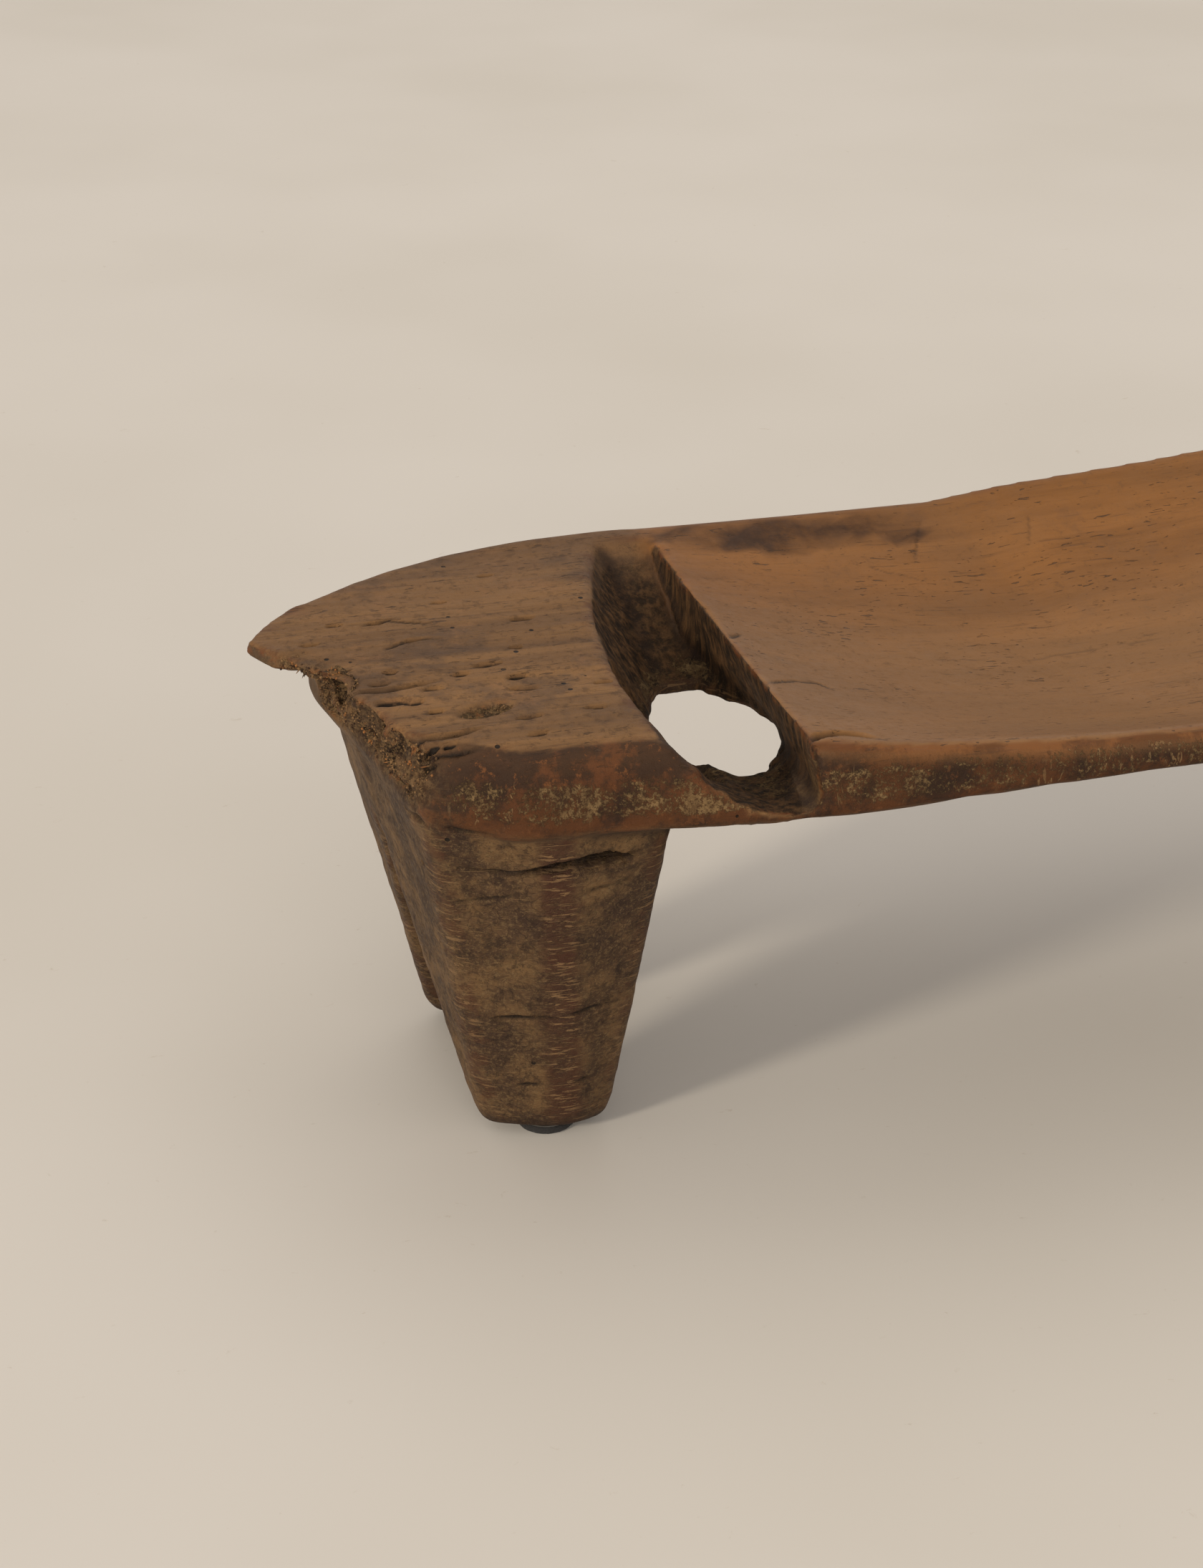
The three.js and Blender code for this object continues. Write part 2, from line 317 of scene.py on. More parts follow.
# Where each surface of the carving is, from 0 to 1.
WORN_SLOT_X, FAR_SLOT_X = -190, 196  # middles of the two hand slots
WORN_LINE_X, FAR_LINE_X = -355.6, 364.4  # lines that the outlines of the ends are laid out from
SLAB_STARTS = (158, 166)  # heights between which the legs give way to the slab
to_slot = np.where(x < 0, x - WORN_SLOT_X, x - FAR_SLOT_X)
slot_wall = step(-np.sign(to_slot) * nx, 0.1, 0.45) * (1 - step(np.abs(to_slot), 34, 44))
slot_wall *= step(z, 138, 150) * step(y, -105, -95) * (1 - step(y, 98, 110)) * (1 - step(nz, 0.45, 0.8))
# The top edges of a slot, on the block's side and on the dish's side: their distance from the end's
# line at each place across the body. What lies between them is the slot's wall too.
from_end = np.where(x < 0, x - WORN_LINE_X, FAR_LINE_X - x)
block_edge = np.interp(
    y, [-94, -85, -61, -37, -6, 26, 56, 78, 96, 108], [139, 138, 135, 133, 133, 136, 142, 150, 160, 182]
)
dish_edge = np.interp(y, [-106, -83, -67, -34, -13, 8, 98], [179, 181, 183, 186, 186, 185, 185])
funnel = (
    step(from_end - block_edge, 0.5, 5) * step(dish_edge + 15 * (1 - step(z, 158, 171)) - from_end, 0.5, 4)
    * (1 - step(z, 186, 191.5))
)
slot_wall = np.maximum(slot_wall, funnel * step(z, 120, 140) * (1 - step(-ny, 0.4, 0.7)))
rise = step(nz, 0.25, 0.7) * step(z, 158, 164)
dish = rise * (1 - step(np.abs(x), 170, 182)) * (1 - slot_wall)
dish *= np.maximum(step(z, 170, 174), 1 - step(np.abs(x), 140, 150))
rolled_rim = dish * (1 - step(nz, 0.86, 0.985)) * step(-y, 84, 98)
block_top = rise * step(np.abs(x), 170, 182) * (1 - slot_wall)
side = (1 - step(np.abs(nz), 0.5, 0.85)) * step(z, *SLAB_STARTS) * (1 - slot_wall)
fascia = side * step(-y, 70, 92) * step(-ny, 0.2, 0.6)
lip = (
    step(nz, 0.12, 0.45) * (1 - step(nz, 0.93, 0.99)) * step(-y, 66, 84) * step(np.abs(x), 190, 215)
    * (1 - slot_wall)
)
crust = fascia * (1 - 0.06 * (1 - step(np.abs(x), 165, 195))) * (1 - step(z, 181, 187)) * step(z, 165, 170)
underside = step(-nz, 0.35, 0.75) * step(z, 100, 125)
leg = (1 - step(z, *SLAB_STARTS)) * (1 - underside)
foot = 1 - step(z, 5.5, 13)
free = step(z, 5, 11)  # above the flat of the feet, which isn't carved
# The worn end's broken edge, seen from above.
worn_edge_x = np.interp(
    y,
    [-97, -90, -71, -47, -29, -14, 14, 31],
    [-313.6, -316.6, -322.6, -329.6, -334.6, -336.6, -345.6, -357.6],
)
inland = x - worn_edge_x

move = np.zeros(len(body))
# Slow waves of the hand-cut surfaces, and the scoops of the adze on the legs, slots and underside.
move += free * 0.55 * rolling(body, (90, 42, 42), 3, 2) * (1 - 0.4 * dish)
cut_leg = tool_cuts(body, (19, 19, 30), 11)
cut_slot = tool_cuts(body, (13, 15, 46), 23)
cut_under = tool_cuts(body, (36, 22, 26), 37)
move -= free * leg * 0.5 * (1 - cut_leg) ** 2
move -= slot_wall * 1.2 * (1 - cut_slot) ** 1.5
# Beside the hole the block's wall is cut in behind its top edge.
behind = slot_wall * step(np.sign(x) * to_slot, 0, 4) * step(y, -78, -64) * (1 - step(y, -8, 10))
move -= 7.0 * behind * (1 - step(z, 183, 190)) * step(z, 150, 160)
move -= underside * 1.3 * (1 - cut_under) ** 2
move += leg * free * 0.22 * rolling(body, (7, 7, 5), 5, 2)
# Fine ripples of the weathered end grain and raised fibres on the block tops.
move += block_top * 0.20 * rolling(body, (46, 3.4, 8), 7, 2)
move += block_top * 0.45 * rolling(body, (38, 15, 20), 9, 2)
move += fascia * 0.40 * rolling(body, (16, 6, 5), 12, 3)
move += slot_wall * 0.55 * rolling(body, (4.5, 5, 12), 13, 3)

# The eaten strip along the worn end: it crumbles back from the edge, deeper below it.
reach_y = step(y, -84, -72) * (1 - step(y, 8, 22))
on_face = step(z, 167, 174) * (1 - step(nz, 0.55, 0.95)) * step(-x, 300, 312) * (1 - step(inland, 12, 20))
on_top = 0.75 * step(nz, 0.5, 0.9) * step(z, 180, 188) * (1 - step(inland, 2, 13)) * step(-x, 296, 310)
patches = step(rolling(body, (11, 9, 9), 41, 3), -0.5, 0.35)
erosion = np.clip((on_face + on_top) * reach_y * (0.35 + 0.85 * patches), 0, 1)
crumble = rolling(body, (8.0, 4.0, 3.6), 43, 4)
move -= erosion * (0.9 + 2.8 * np.abs(crumble) + 1.3 * rolling(body, (3.2, 2.4, 2.4), 47, 2))
lobes = np.abs(rolling(body, (60, 13, 30), 49, 1))
move -= 3.2 * (1 - step(lobes, 0.04, 0.24)) * erosion
# The counterpart end has only a little of the same damage.
eaten_far = step(x, 318, 334) * step(nx, 0.3, 0.8) * step(z, 160, 170) * step(
    rolling(body, (30, 26, 20), 53, 2), 0.1, 0.6
)
move -= eaten_far * (1.1 + 1.5 * np.abs(rolling(body, (7.0, 4.2, 4.6), 59, 3)))
erosion = np.maximum(erosion, 0.8 * eaten_far)

# Checks, cracks and the long scratches of the dish: half width, depth and path of each.
crack = np.zeros(len(body))
checks = [
    (1.3, 2.6, [(-316, -66, 164.5), (-313, -77, 164.5), (-302, -86, 163), (-287, -95, 162.5)]),
    (
        1.2,
        3.0,
        [
            (-310, -65, 139),
            (-300, -81, 143.5),
            (-287, -87, 143),
            (-276, -92, 143.5),
            (-269, -94, 143.5),
            (-256, -95, 143),
            (-241, -92, 144),
            (-233, -91, 147),
            (-222, -89, 149),
        ],
    ),
    (1.1, 1.3, [(-296, -55, 64), (-280, -69, 67), (-264, -75, 68.5), (-248, -77, 70), (-225, -70, 72)]),
    (1.0, 1.0, [(-288, -50, 26), (-268, -64, 30.5), (-245, -67, 31.5), (-230, -62, 33)]),
    (0.9, 0.8, [(-303, -75, 126), (-276, -89, 133)]),
    (0.9, 0.8, [(-253, -92, 133), (-229, -88, 133.5)]),
    (0.8, 0.5, [(-57, 72, 180.0), (-47, 91, 186.8), (-43, 100, 190.7)]),
    (0.7, 0.35, [(7, 95, 193.2), (3, 84, 188.0), (-1, 73, 182.5)]),
    (0.7, 0.35, [(-80, 73, 182.0), (-64, 66, 178.8), (-53, 60, 176.1)]),
    (0.7, 0.35, [(-40, -2, 164.9), (-19, -1, 164.5), (3, 0, 165.4), (22, 0, 166.5), (36, 0, 167.6)]),
    (
        2.0,
        4.0,
        [
            (-172, -104, 193.5),
            (-165, -101, 192.7),
            (-157, -98, 191.1),
            (-148, -99, 189.7),
            (-142, -103, 189.2),
        ],
    ),
    (1.0, 0.9, [(-167, -49, 190.3), (-153, -39, 185.9), (-142, -38, 182.8), (-136, -48, 181.9)]),
    (1.0, 0.9, [(-167, -2, 189.9), (-163, 2, 188.5), (-160, 5, 187.7)]),
    (1.6, 3.6, [(-332, -24.5, 192), (-320, -25, 194), (-307, -25, 194), (-293, -22, 194)]),
    (1.5, 3.2, [(-320, -58, 188), (-312, -68, 193), (-302, -69.5, 194), (-295, -68, 194), (-285, -66, 194)]),
    (1.3, 2.2, [(-316, -71, 186), (-305, -77.5, 190), (-296, -80, 192), (-290, -81, 193)]),
    (1.3, 1.8, [(-314, -76, 183), (-305, -80, 187.5)]),
    (
        1.0,
        1.1,
        [(-323, 38, 194.5), (-310, 36, 194.5), (-300, 38, 194.5), (-286, 31.5, 194.5), (-279, 33, 194.5)],
    ),
    (1.0, 1.2, [(-311, 9, 194.5), (-299, 15, 194.5), (-294, 16.5, 194.5), (-281, 15.5, 194.5)]),
    (1.1, 2.0, [(316, -20, 194), (300, -18, 194), (281, -21, 194), (262, -19, 194)]),
    (1.1, 1.6, [(330, 44, 194), (309, 42, 194), (286, 45, 194)]),
    (1.2, 2.4, [(306, -70, 150), (292, -82, 152), (270, -90, 150), (248, -92, 152)]),
    (1.2, 2.2, [(-300, 84, 148), (-280, 92, 150), (-252, 95, 149), (-236, 92, 151)]),
    (1.2, 2.2, [(310, 62, 120), (296, 76, 122), (270, 84, 121)]),
]
wander = np.stack([rolling(body, (9, 9, 9), 61 + k, 2) for k in range(3)], axis=1) * 0.8
for half_width, depth, path in checks:
    rows, gap, share = near_path(body + wander, path, 8)
    taper = np.clip(share * 7, 0.35, 1) * np.clip((1 - share) * 4, 0.1, 1)
    cut = 1 - step(gap / (half_width * (0.6 + 0.4 * taper)), 0.35, 1.25)
    move[rows] -= depth * cut * taper
    crack[rows] = np.maximum(crack[rows], cut * taper * min(1.0, depth))
# The check under the front of the worn leg's top gapes into a mouth, darkened inside with painted shade.
MOUTH_X = -255
mouth = np.interp(x, [-277, -266, -255, -244, -233], [0.0, 3.6, 5.0, 5.2, 0.0])
open_mouth = step(z, 142.2, 143.6) * (1 - step(z, 143.2 + mouth, 144.6 + mouth))
open_mouth *= step(-y, 74, 84) * (1 - step(np.abs(x - MOUTH_X), 20, 24)) * step(-ny, 0.3, 0.7)
move -= 9.5 * open_mouth
crack = np.maximum(crack, open_mouth)
# Insect galleries that broke through the tops: middle, half length and half width of each.
galleries = [
    (-309.6, -11, 2.5, 2.0), (-297.5, -29, 4.5, 1.6), (-316, -19.6, 4.0, 2.0), (-314, -37, 7.5, 3.0),
    (-306, -39, 4.0, 2.4), (-283.6, -18, 4.0, 2.0), (-300, -49, 3.6, 2.0), (-271, -12, 6.5, 1.8),
    (-262, -25, 4.5, 2.0), (-247, 28, 6.0, 2.2), (-262, -36, 7.0, 1.8), (-267, -62, 5.5, 1.4),
    (-268, -76, 5.0, 1.3), (-308, -74, 4.4, 1.6), (-301, -75, 3.0, 1.4), (-240, -60, 5.0, 1.2),
    (-322, 38, 3.4, 1.5), (-305, 36.5, 3.6, 1.4), (-294, 16.6, 3.2, 1.5), (-256, 2, 3.0, 1.3),
    (-231, -38, 4.0, 1.3), (-276, 52, 4.0, 1.2), (-250, 74, 4.0, 1.2), (-335, 22, 4.0, 1.4),
    (290, -30, 6.0, 1.6), (268, 14, 5.0, 1.5), (305, 6, 4.0, 1.8), (322, 24, 5.0, 1.8),
    (252, -58, 4.0, 1.4), (281, 60, 6.0, 1.4), (300, -52, 5.0, 1.8), (240, 40, 3.0, 1.3),
]
gallery = np.zeros(len(body))
for middle_x, middle_y, half_length, half_width in galleries:
    rows = np.where((np.abs(x - middle_x) < 12) & (np.abs(y - middle_y) < 7) & (z > 178) & (nz > 0.3))[0]
    bend = wander[rows]
    off = np.hypot(
        (x[rows] - middle_x + bend[:, 0]) / half_length,
        (y[rows] - middle_y + bend[:, 1]) / (0.85 * half_width),
    )
    dip = 1 - step(off, 0.55, 1.1)
    move[rows] -= 3.2 * dip
    gallery[rows] = np.maximum(gallery[rows], dip)
# One rotted pit on the worn block, wide and shallow, with crumbs in it.
PIT_X, PIT_Y = -281, -51
pit_off = np.hypot((x - PIT_X) / 12.5, (y - PIT_Y - 0.25 * (x - PIT_X)) / 5.6)
pit_off = pit_off + 0.16 * rolling(body, (6, 5, 6), 67, 2)
pit = (1 - step(pit_off, 0.55, 1.1)) * step(z, 180, 186) * step(nz, 0.3, 0.6)
move -= pit * (3.0 + 0.9 * rolling(body, (3, 3, 3), 71, 2))

# The worn end's back corner is left as a blunt horn, eaten away underneath.
HORN_UNDERSIDE = 186.5
below = HORN_UNDERSIDE - z
horn = step(below, 0, 2.5) * (1 - step(below, 10, 22)) * (1 - step(x, -345, -330)) * step(y, 4, 14)
body[:, 0] += 8.5 * horn
blunt = (1 - step(x, -346, -336)) * step(y, 8, 16) * (1 - step(y, 40, 60)) * step(-nx, 0.1, 0.4)
body[:, 0] -= 1.1 * np.clip(193.5 - z, 0, 5) * step(z, 187, 189.5) * blunt
body += facing * move[:, None]
body += 0.3 * (around.average(body) - body)
body[:, 2] = np.maximum(body[:, 2], FOOT_HEIGHT)

# Rubbed arrises stand out from their surroundings, and inner corners stand in; the inner corners get painted
# shade.
blurred = smooth.copy()
for _ in range(30):
    blurred += 0.6 * (around.average(blurred) - blurred)
proud = ((smooth - blurred) * facing).sum(1)
rubbed = step(proud, 0.16, 0.75) * (1 - 0.75 * fascia * step(z, 161, 165) * (1 - step(z, 184, 190)))
rubbed = np.maximum(rubbed, leg * step(proud, 0.05, 0.3))
corner_shade = step(-proud, 0.12, 0.7)
ridge_x = np.interp(z, [4, 40, 76, 115, 140, 162], [-251, -254.5, -258, -261.5, -264, -266])
ridge = (1 - step(np.abs(x - ridge_x), 4, 9)) * step(-y, 40, 50) * leg
STAIN_X, STAIN_Y = -112, 97
stain_off = np.hypot((x - STAIN_X) / 52, (y - STAIN_Y) / 14) + 0.55 * rolling(body, (24, 9, 30), 73, 3)
stain = dish * (1 - step(stain_off, 0.55, 1.15))

dense = {
    "dish": dish,
    "block_top": block_top,
    "fascia": fascia,
    "lip": lip,
    "rolled_rim": rolled_rim,
    "crust": crust,
    "slot_wall": slot_wall,
    "underside": underside,
    "leg": leg,
    "foot": foot,
    "rubbed": rubbed,
    "corner_shade": corner_shade,
    "eroded": erosion,
    "crack": crack,
    "gallery": gallery,
    "pit": pit,
    "ridge": ridge,
    "stain": stain,
}


def mesh_of(name, points, faces):
    made = bpy.data.meshes.new(name)
    made.vertices.add(len(points))
    made.vertices.foreach_set("co", (np.asarray(points) / 1000).astype(np.float32).ravel())
    made.loops.add(faces.size)
    made.loops.foreach_set("vertex_index", faces.astype(np.int32).ravel())
    made.polygons.add(len(faces))
    made.polygons.foreach_set("loop_start", np.arange(0, faces.size, faces.shape[1], dtype=np.int32))
    made.update(calc_edges=True)
    made.validate()
    return made


def thinned(piece, triangles):
    """A lighter copy of a piece's mesh, with flat parts thinned first."""
    thin = piece.modifiers.new("thin", "DECIMATE")
    thin.ratio = min(1.0, triangles / len(piece.data.polygons))
    seen = piece.evaluated_get(bpy.context.evaluated_depsgraph_get())
    made = bpy.data.meshes.new_from_object(seen)
    piece.modifiers.clear()
    return made


headrest = bpy.data.objects.new("carved_headrest", mesh_of("carved_headrest", body, faces))
scene.collection.objects.link(headrest)
headrest.data = thinned(headrest, KEPT_TRIANGLES)
headrest.data.polygons.foreach_set("use_smooth", np.ones(len(headrest.data.polygons), bool))
finder = kdtree.KDTree(len(body))
for row, point in enumerate(body / 1000):
    finder.insert(point, row)
finder.balance()
nearest = np.array([finder.find(vertex.co)[1] for vertex in headrest.data.vertices])
for name, value in dense.items():
    layer = headrest.data.attributes.new(name, "FLOAT", "POINT")
    layer.data.foreach_set("value", np.clip(value[nearest], 0, 1).astype(np.float32))


def group_of(name, numbers, outputs):
    """An empty shader group with named numbers in and named values out."""
    made = bpy.data.node_groups.new(name, "ShaderNodeTree")
    for label, default in numbers.items():
        socket = made.interface.new_socket(label, in_out="INPUT", socket_type="NodeSocketFloat")
        socket.default_value = default
    for label in outputs:
        made.interface.new_socket(label, in_out="OUTPUT", socket_type="NodeSocketFloat")
    return made, made.nodes.new("NodeGroupInput"), made.nodes.new("NodeGroupOutput")


# Wood grain: fibres along the block, as broad streaks of tone and as fine open pores.
wood_grain, given, put = group_of("wood_grain", {"Fineness": 1.0}, ("Streaks", "Pores", "Height"))
place = add(wood_grain, "ShaderNodeTexCoord").outputs["Object"]
scaled = add(
    wood_grain, "ShaderNodeVectorMath", {0: place, "Scale": given.outputs["Fineness"]}, operation="SCALE"
)
broad_map = add(wood_grain, "ShaderNodeMapping", {"Vector": scaled.outputs[0], "Scale": (3.0, 46.0, 46.0)})
fine_map = add(wood_grain, "ShaderNodeMapping", {"Vector": scaled.outputs[0], "Scale": (24.0, 620.0, 620.0)})
broad = add(
    wood_grain,
    "ShaderNodeTexNoise",
    {"Vector": broad_map.outputs[0], "Scale": 1.0, "Detail": 6.0, "Roughness": 0.62, "Distortion": 0.5},
)
fine = add(
    wood_grain,
    "ShaderNodeTexNoise",
    {"Vector": fine_map.outputs[0], "Scale": 1.0, "Detail": 3.0, "Roughness": 0.6, "Distortion": 0.2},
)
wood_grain.links.new(between(wood_grain, broad.outputs[0], 0.32, 0.68), put.inputs["Streaks"])
pores = between(wood_grain, fine.outputs[0], 0.60, 0.72)
wood_grain.links.new(pores, put.inputs["Pores"])
lift = maths(
    wood_grain,
    "SUBTRACT",
    maths(wood_grain, "MULTIPLY", fine.outputs[0], 0.6),
    maths(wood_grain, "MULTIPLY", pores, 0.5),
)
wood_grain.links.new(
    maths(wood_grain, "ADD", lift, maths(wood_grain, "MULTIPLY", broad.outputs[0], 0.5)),
    put.inputs["Height"],
)

# Dry dust: a pale crust in fine specks, gathered in clouds.
dry_dust, given, put = group_of("dry_dust", {"Amount": 0.5, "Speck Size": 1.0}, ("Mask", "Height"))
place = add(dry_dust, "ShaderNodeTexCoord").outputs["Object"]
scaled = add(
    dry_dust, "ShaderNodeVectorMath", {0: place, "Scale": given.outputs["Speck Size"]}, operation="SCALE"
)
clouds = add(
    dry_dust,
    "ShaderNodeTexNoise",
    {"Vector": scaled.outputs[0], "Scale": 48.0, "Detail": 6.0, "Roughness": 0.72, "Distortion": 0.6},
)
specks = add(
    dry_dust,
    "ShaderNodeTexNoise",
    {"Vector": scaled.outputs[0], "Scale": 700.0, "Detail": 5.0, "Roughness": 0.82},
)
both = maths(
    dry_dust,
    "ADD",
    maths(dry_dust, "MULTIPLY", clouds.outputs[0], 0.95),
    maths(dry_dust, "MULTIPLY", specks.outputs[0], 1.15),
)
limit = maths(dry_dust, "SUBTRACT", 1.46, maths(dry_dust, "MULTIPLY", given.outputs["Amount"], 0.58))
over = maths(dry_dust, "MULTIPLY", maths(dry_dust, "SUBTRACT", both, limit), 13.0, True)
dry_dust.links.new(over, put.inputs["Mask"])
dry_dust.links.new(maths(dry_dust, "MULTIPLY", specks.outputs[0], over), put.inputs["Height"])

# Small scars: short dents and scratches along the fibres, and round insect holes.
small_scars, given, put = group_of(
    "small_scars", {"Dents": 0.5, "Holes": 0.5}, ("Dents", "Holes", "Hatching")
)
place = add(small_scars, "ShaderNodeTexCoord").outputs["Object"]
dent_map = add(
    small_scars,
    "ShaderNodeMapping",
    {"Vector": place, "Scale": (150.0, 720.0, 720.0), "Rotation": (0, 0, 0.06)},
)
dent = add(
    small_scars,
    "ShaderNodeTexNoise",
    {"Vector": dent_map.outputs[0], "Scale": 1.0, "Detail": 2.0, "Roughness": 0.5, "Distortion": 0.7},
)
thin_out = add(small_scars, "ShaderNodeTexNoise", {"Vector": place, "Scale": 26.0, "Detail": 2.0})
dent_limit = maths(
    small_scars, "SUBTRACT", 0.80, maths(small_scars, "MULTIPLY", given.outputs["Dents"], 0.215)
)
dent_level = maths(
    small_scars,
    "ADD",
    dent.outputs[0],
    maths(small_scars, "MULTIPLY", maths(small_scars, "SUBTRACT", thin_out.outputs[0], 0.5), 0.25),
)
dent_mask = maths(
    small_scars, "MULTIPLY", maths(small_scars, "SUBTRACT", dent_level, dent_limit), 22.0, True
)
small_scars.links.new(dent_mask, put.inputs["Dents"])
scratches = []
for slant, start in ((0.5, 0.0), (-0.35, 3.7), (1.1, 8.2)):
    hatch_map = add(
        small_scars,
        "ShaderNodeMapping",
        {
            "Vector": place,
            "Scale": (65.0, 65.0, 1300.0),
            "Rotation": (0.1, slant, 0.2),
            "Location": (start, start, 0.0),
        },
    )
    hatch = add(
        small_scars,
        "ShaderNodeTexNoise",
        {"Vector": hatch_map.outputs[0], "Scale": 1.0, "Detail": 2.0, "Roughness": 0.5, "Distortion": 0.3},
    )
    scratches.append(between(small_scars, hatch.outputs[0], 0.66, 0.72))
crossed = maths(
    small_scars, "MAXIMUM", maths(small_scars, "MAXIMUM", scratches[0], scratches[1]), scratches[2]
)
small_scars.links.new(crossed, put.inputs["Hatching"])
hole = add(small_scars, "ShaderNodeTexVoronoi", {"Vector": place, "Scale": 105.0})
near_hole = between(small_scars, hole.outputs["Distance"], 0.085, 0.125, 1.0, 0.0)
picked = add(small_scars, "ShaderNodeSeparateColor", {0: hole.outputs["Color"]})
chosen = maths(
    small_scars, "LESS_THAN", picked.outputs[0], maths(small_scars, "MULTIPLY", given.outputs["Holes"], 0.5)
)
small_scars.links.new(maths(small_scars, "MULTIPLY", near_hole, chosen), put.inputs["Holes"])

wood, tree, shader = new_material("carved_wood")
mask = {
    name: add(tree, "ShaderNodeAttribute", attribute_name=name).outputs["Fac"] for name in dense
}


def part_of(tree, value, share):
    return maths(tree, "MULTIPLY", value, share)


def rest_of(tree, value, share=1.0):
    """1 less a share of value."""
    return maths(tree, "SUBTRACT", 1.0, maths(tree, "MULTIPLY", value, share))


grain = add(tree, "ShaderNodeGroup", node_tree=wood_grain)
streaks, pores, grain_height = grain.outputs["Streaks"], grain.outputs["Pores"], grain.outputs["Height"]
scars = add(tree, "ShaderNodeGroup", node_tree=small_scars)
big = noise_of(tree, 11.0, 6.0, 0.68)
middling = noise_of(tree, 36.0, 8.0, 0.74, shift=(3.1, 1.7, 0.4))
small = noise_of(tree, 190.0, 6.0, 0.78, shift=(0.3, 5.2, 2.4))
speckle = noise_of(tree, 620.0, 5.0, 0.84, shift=(2.2, 0.7, 4.1))
hatching = scars.outputs["Hatching"]
# Legs: khaki brown where rubbed and dusty, nearly black brown where handled, scratched all over.
leg_tone = tint(
    tree, between(tree, middling, 0.40, 0.60), (0.042, 0.021, 0.010, 1), (0.138, 0.074, 0.029, 1)
)
leg_tone = tint(tree, part_of(tree, between(tree, big, 0.46, 0.60), 0.6), leg_tone, (0.036, 0.018, 0.011, 1))
leg_tone = tint(
    tree, part_of(tree, between(tree, speckle, 0.51, 0.60), 0.55), leg_tone, (0.165, 0.102, 0.044, 1)
)
leg_tone = tint(
    tree, part_of(tree, between(tree, small, 0.52, 0.60), 0.55), leg_tone, (0.018, 0.009, 0.005, 1)
)
leg_tone = tint(tree, part_of(tree, hatching, 0.42), leg_tone, (0.185, 0.108, 0.046, 1))
# Fine crazing of the old polish.
craze = add(
    tree,
    "ShaderNodeTexNoise",
    {"Vector": add(tree, "ShaderNodeTexCoord").outputs["Object"], "Scale": 60.0, "Detail": 3.0},
)
crazed = add(
    tree,
    "ShaderNodeVectorMath",
    {
        0: craze.outputs["Color"],
        1: (0.03, 0.03, 0.03),
        2: add(tree, "ShaderNodeTexCoord").outputs["Object"],
    },
    operation="MULTIPLY_ADD",
)
crackle = add(
    tree, "ShaderNodeTexVoronoi", {"Vector": crazed.outputs[0], "Scale": 130.0}, feature="DISTANCE_TO_EDGE"
)
crackle = maths(
    tree,
    "MULTIPLY",
    between(tree, crackle.outputs["Distance"], 0.015, 0.06, 1.0, 0.0),
    between(tree, big, 0.42, 0.56),
)
leg_tone = tint(tree, part_of(tree, crackle, 0.28), leg_tone, (0.014, 0.007, 0.004, 1))
# Block tops: greyed brown, mottled, with paler raised fibres.
top_tone = tint(tree, streaks, (0.126, 0.062, 0.024, 1), (0.238, 0.118, 0.042, 1))
top_tone = tint(
    tree, part_of(tree, between(tree, big, 0.48, 0.58), 0.62), top_tone, (0.078, 0.043, 0.024, 1)
)
top_tone = tint(
    tree, part_of(tree, between(tree, middling, 0.54, 0.66), 0.45), top_tone, (0.265, 0.125, 0.048, 1)
)
top_tone = tint(
    tree, part_of(tree, between(tree, small, 0.53, 0.61), 0.45), top_tone, (0.050, 0.027, 0.014, 1)
)
across_body = (
    add(tree, "ShaderNodeSeparateXYZ", {0: add(tree, "ShaderNodeTexCoord").outputs["Object"]}).outputs[1]
)
# Painted shade: the block tops darken towards their far side.
top_tone = tint(tree, between(tree, across_body, 0.02, 0.09, 0.0, 0.35), top_tone, (0.088, 0.046, 0.023, 1))
# Dish: polished orange brown.
dish_tone = tint(tree, streaks, (0.148, 0.058, 0.012, 1), (0.226, 0.090, 0.020, 1))
dish_tone = tint(
    tree, part_of(tree, between(tree, big, 0.44, 0.62), 0.30), dish_tone, (0.160, 0.076, 0.028, 1)
)
dish_tone = tint(
    tree, part_of(tree, between(tree, middling, 0.54, 0.66), 0.30), dish_tone, (0.115, 0.052, 0.020, 1)
)
# Painted light: the near side of the dish is made paler.
near_painted_light = between(tree, across_body, -0.01, 0.07, 0.5, 0.0)
dish_tone = tint(tree, near_painted_light, dish_tone, (0.240, 0.122, 0.046, 1))
dish_tone = tint(
    tree, part_of(tree, between(tree, speckle, 0.57, 0.66), 0.38), dish_tone, (0.095, 0.045, 0.018, 1)
)
dish_tone = tint(
    tree, part_of(tree, between(tree, small, 0.575, 0.64), 0.40), dish_tone, (0.105, 0.050, 0.020, 1)
)
rim_tone = tint(
    tree, between(tree, middling, 0.45, 0.57), (0.085, 0.030, 0.009, 1), (0.165, 0.060, 0.017, 1)
)
dish_tone = tint(tree, part_of(tree, mask["rolled_rim"], 0.85), dish_tone, rim_tone)
# Sides of the slab: dark red brown under a dusty crust.
side_tone = tint(
    tree, between(tree, middling, 0.42, 0.58), (0.024, 0.010, 0.004, 1), (0.072, 0.024, 0.006, 1)
)
side_tone = tint(
    tree, part_of(tree, between(tree, small, 0.55, 0.62), 0.5), side_tone, (0.135, 0.050, 0.016, 1)
)
